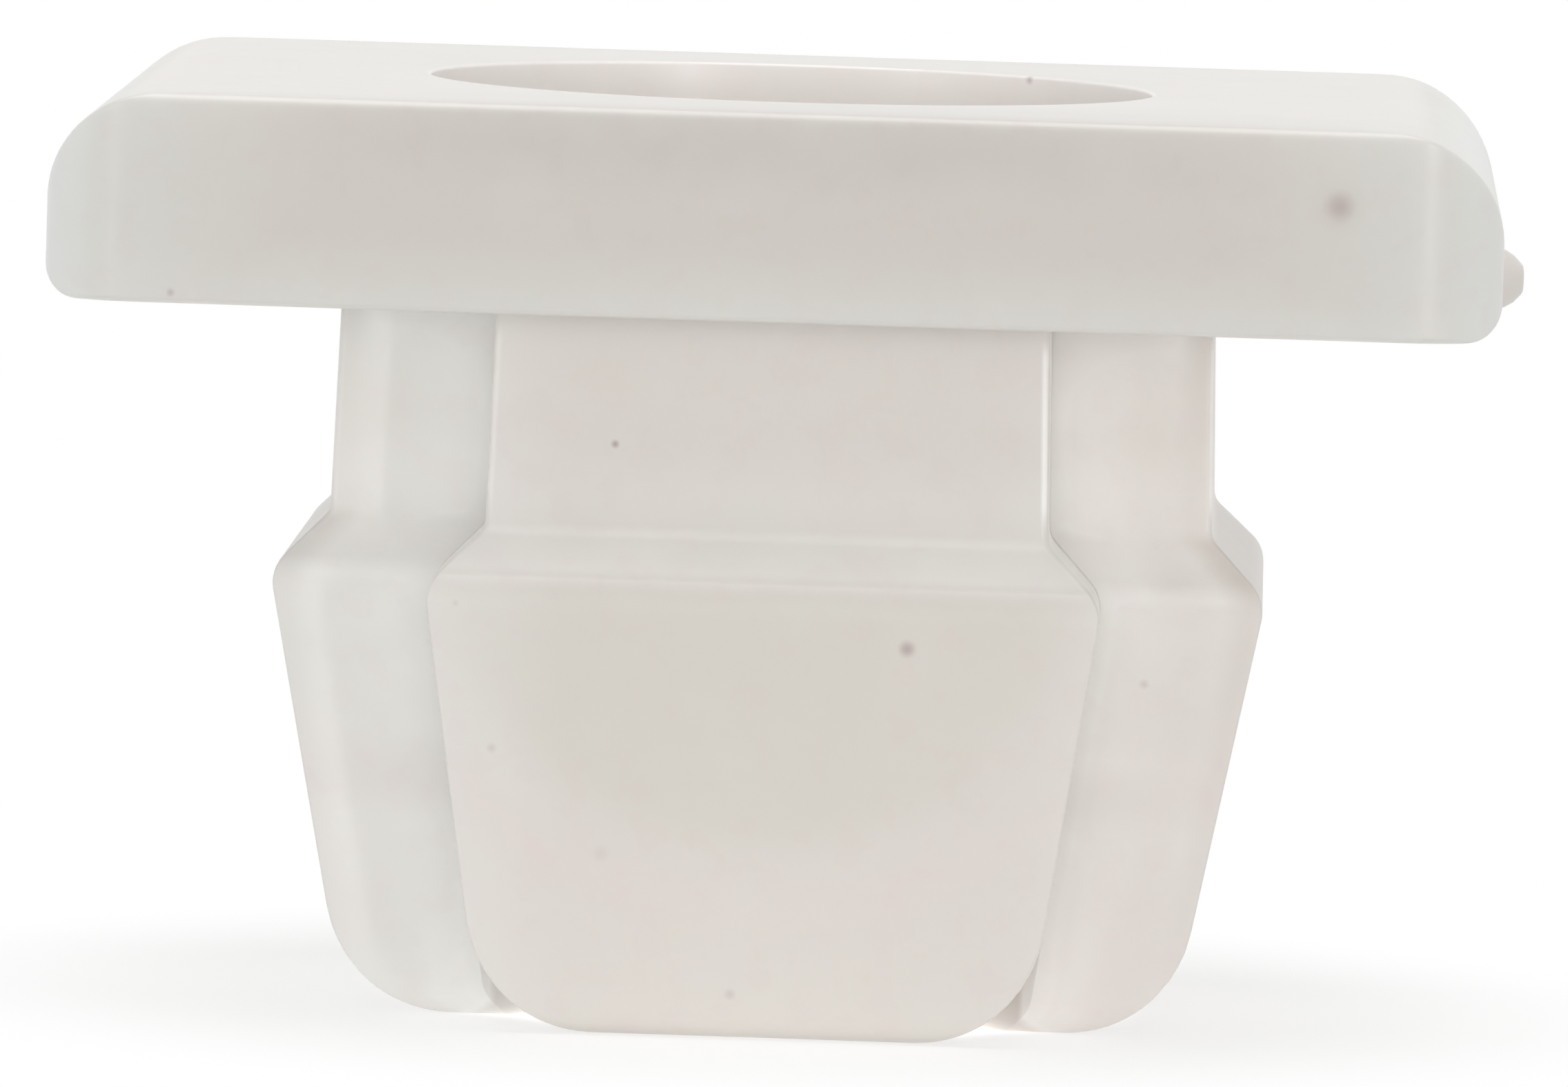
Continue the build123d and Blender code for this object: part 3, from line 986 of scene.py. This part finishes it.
def table_top(stage):
    """White table that keeps the part's shadow and fades into the white background further out."""
    made = bpy.data.materials.new("light_table")
    graph = Graph(made)
    place = graph.node("ShaderNodeTexCoord", None, None, "Object")
    away = graph.vector("LENGTH", place, (0, 0, 0), output="Value")
    fade = shared(WHITE_SHARES, away.between(*WHITE_FADE))
    glow_strength = stage.table_glow * away.between(stage.glow_reach, 0)
    glow_strength += stage.under_glow * away.between(*UNDER_PART)
    paint = graph.node("ShaderNodeBsdfPrincipled", None, {
        "Base Color": stage.floor_colour[:],
        "Roughness": TABLE_ROUGHNESS,
        "Specular IOR Level": TABLE_GLOSS,
    })
    white = graph.node("ShaderNodeEmission", None, {"Color": (1, 1, 1), "Strength": 1})
    glow = graph.node("ShaderNodeEmission", None, {"Color": (1, 1, 1), "Strength": glow_strength})
    lit = graph.node("ShaderNodeAddShader", None, {0: paint, 1: glow})
    surface = graph.node("ShaderNodeMixShader", None, {
        0: fade * graph.camera_sees(), 1: lit, 2: white})
    graph.node("ShaderNodeOutputMaterial", None, {"Surface": surface})
    return made


def white_room(stage):
    """World that is white to the camera and lights the part at a plain level."""
    made = bpy.data.worlds.new("white_room")
    graph = Graph(made)
    toward = graph.node("ShaderNodeTexCoord", None, None, "Generated")
    right, back, _ = graph.parts(toward)
    lights = stage.sky
    lights += (0 - back).most(0) ** FRONT_FOCUS * stage.front_light
    lights += abs(right) ** WALL_FOCUS * stage.side_light
    lights += back.most(0) ** WALL_FOCUS * stage.back_light
    seen = graph.camera_sees()
    strength = seen + (1 - seen) * lights
    light = graph.node("ShaderNodeBackground", None, {"Color": (1, 1, 1), "Strength": strength})
    graph.node("ShaderNodeOutputWorld", None, {"Surface": light})
    bpy.context.scene.world = made


# ---------------------------------------------------------------------------------------------------
# Operators
# ---------------------------------------------------------------------------------------------------

class GROMMET_OT_head(bpy.types.Operator):
    """Moulds the skin of the head"""
    bl_idname = "grommet.head"
    bl_label = "Head"

    def execute(self, context):
        shape = HeadShape(context.scene.grommet_head)
        piece = skin("head_skin", shape.loops(), closed=True)
        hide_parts("head_plate")
        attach(piece, "head_plate")
        return {"FINISHED"}


class GROMMET_OT_gate(bpy.types.Operator):
    """Adds the stub where the part was broken off its runner"""
    bl_idname = "grommet.gate"
    bl_label = "Gate stub"

    # Shares of the stub's reach and radius, from inside the head to its tip
    PROFILE = (
        (-0.5, 1.0), (0.12, 1.0), (0.30, 0.95), (0.62, 0.78), (0.90, 0.52), (0.97, 0.42), (1.0, 0.25),
    )
    SIDES = 20
    TORN_SHARE = 0.05           # how far the torn tip is out of round, as a share of the radius
    TORN_LOBES = 3

    def execute(self, context):
        gate = context.scene.grommet_gate
        end = millimetres(context.scene.grommet_head, "half_length")
        middle = millimetres(gate, "middle_height")
        loops = []
        for reach_share, radius_share in self.PROFILE:
            x = end + millimetres(gate, "reach") * reach_share
            loop = []
            for k in range(self.SIDES):
                turn = 2 * pi * k / self.SIDES
                torn = 1 + self.TORN_SHARE * sin(self.TORN_LOBES * turn + 1) * reach_share
                radius = millimetres(gate, "radius") * radius_share * torn
                loop.append((x, radius * cos(turn), middle + radius * sin(turn)))
            loops.append(loop)
        piece = skin("gate_stub", loops, closed=False, milky=False)
        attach(piece, "head_plate")
        return {"FINISHED"}


def make_legs(context, nodes, toe_radius, side_radius, setback, lean):
    """Moulds the skins of two opposite legs."""
    legs = context.scene.grommet_legs
    passage = Passage(legs, millimetres(context.scene.grommet_head, "hole_radius"))
    mould = Mould(legs, passage, toe_radius, side_radius, setback, lean)
    loops = [[(p.x, p.y, z) for p in mould.section(z)] for z in mould.heights()]
    for node, turn in nodes.items():
        piece = skin(f"{node}_skin", loops, closed=False, turn=turn)
        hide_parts(node)
        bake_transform(piece)


class GROMMET_OT_end_legs(bpy.types.Operator):
    """Moulds the left and right legs, whose toes are rounded far up"""
    bl_idname = "grommet.end_legs"
    bl_label = "Left and right legs"

    def execute(self, context):
        legs = context.scene.grommet_legs
        wide, tight = millimetres(legs, "wide_toe_radius"), millimetres(legs, "tight_toe_radius")
        make_legs(context, END_LEGS, wide, tight, 0, 0)
        return {"FINISHED"}


class GROMMET_OT_face_legs(bpy.types.Operator):
    """Moulds the front and rear legs, which the slots are cut out of"""
    bl_idname = "grommet.face_legs"
    bl_label = "Front and rear legs"

    def execute(self, context):
        legs = context.scene.grommet_legs
        wide, tight = millimetres(legs, "wide_toe_radius"), millimetres(legs, "tight_toe_radius")
        make_legs(context, FACE_LEGS, tight, wide, millimetres(legs, "slot_at_root"), legs.slot_lean)
        return {"FINISHED"}


class GROMMET_OT_stage(bpy.types.Operator):
    """Sets up the light table, the lamps and the camera"""
    bl_idname = "grommet.stage"
    bl_label = "Stage"

    def execute(self, context):
        stage = context.scene.grommet_stage
        self.table(context, stage)
        white_room(stage)
        self.lamp(context, "top_lamp", stage.top_lamp, *TOP_BOX)
        self.lamp(context, "left_strip", stage.left_lamp, *LEFT_STRIP)
        self.lamp(context, "right_strip", stage.right_lamp, *RIGHT_STRIP)
        self.camera(context, stage)
        context.scene.view_settings.view_transform = "Standard"
        return {"FINISHED"}

    def table(self, context, stage):
        """Lays the light table under the toes."""
        half = stage.floor_half
        mesh = bpy.data.meshes.new("light_table")
        corners = [(-half, -half, 0), (half, -half, 0), (half, half, 0), (-half, half, 0)]
        mesh.from_pydata(corners, [], [(0, 1, 2, 3)])
        mesh.materials.append(table_top(stage))
        floor = bpy.data.objects.new("light_table", mesh)
        floor.location = (0, 0, CAD_BOX[0].z)
        context.scene.collection.objects.link(floor)

    def lamp(self, context, name, power, size, place):
        """Hangs a rectangular lamp that faces the middle of the part."""
        light = bpy.data.lights.new(name, "AREA")
        light.shape = "RECTANGLE"
        light.size, light.size_y = size
        light.energy = power
        lamp = bpy.data.objects.new(name, light)
        lamp.location = place
        lamp.rotation_mode = "QUATERNION"
        lamp.rotation_quaternion = (-Vector(place)).to_track_quat("-Z", "Y")
        context.scene.collection.objects.link(lamp)

    def camera(self, context, stage):
        """Sets up the long lens and makes it the scene's camera."""
        lens = bpy.data.cameras.new("camera")
        lens.lens = stage.camera_lens
        lens.clip_start, lens.clip_end = NEAREST, FARTHEST
        camera = bpy.data.objects.new("camera", lens)
        camera.location = stage.camera_place
        sight = Vector(stage.camera_aim) - Vector(stage.camera_place)
        roll = Quaternion((0, 0, 1), stage.camera_roll)
        camera.rotation_mode = "QUATERNION"
        camera.rotation_quaternion = sight.to_track_quat("-Z", "Y") @ roll
        context.scene.collection.objects.link(camera)
        context.scene.camera = camera


OPERATORS = (GROMMET_OT_head, GROMMET_OT_gate, GROMMET_OT_end_legs, GROMMET_OT_face_legs, GROMMET_OT_stage)
GROUPS = {
    "grommet_head": GrommetHead,
    "grommet_gate": GrommetGate,
    "grommet_legs": GrommetLegs,
    "grommet_nylon": GrommetNylon,
    "grommet_stage": GrommetStage,
}


class GROMMET_PT_panel(bpy.types.Panel):
    """Sidebar panel with the grommet's sizes and the buttons that mould it"""
    bl_label = "Screw Grommet"
    bl_idname = "GROMMET_PT_panel"
    bl_space_type = "VIEW_3D"
    bl_region_type = "UI"
    bl_category = "Grommet"

    def draw(self, context):
        for operator in OPERATORS:
            self.layout.operator(operator.bl_idname)
        for name, group in GROUPS.items():
            box = self.layout.box()
            for setting in group.__annotations__:
                box.prop(getattr(context.scene, name), setting)


CLASSES = (*GROUPS.values(), *OPERATORS, GROMMET_PT_panel)


def register():
    """Adds the classes and gives every scene its settings."""
    for each in CLASSES:
        bpy.utils.register_class(each)
    for name, group in GROUPS.items():
        setattr(bpy.types.Scene, name, bpy.props.PointerProperty(type=group))


def unregister():
    """Takes the settings and the classes away again."""
    for name in GROUPS:
        delattr(bpy.types.Scene, name)
    for each in reversed(CLASSES):
        bpy.utils.unregister_class(each)


def main():
    """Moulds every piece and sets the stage."""
    register()
    bpy.ops.grommet.head()
    bpy.ops.grommet.gate()
    bpy.ops.grommet.end_legs()
    bpy.ops.grommet.face_legs()
    bpy.ops.grommet.stage()


if __name__ == "__main__":
    main()
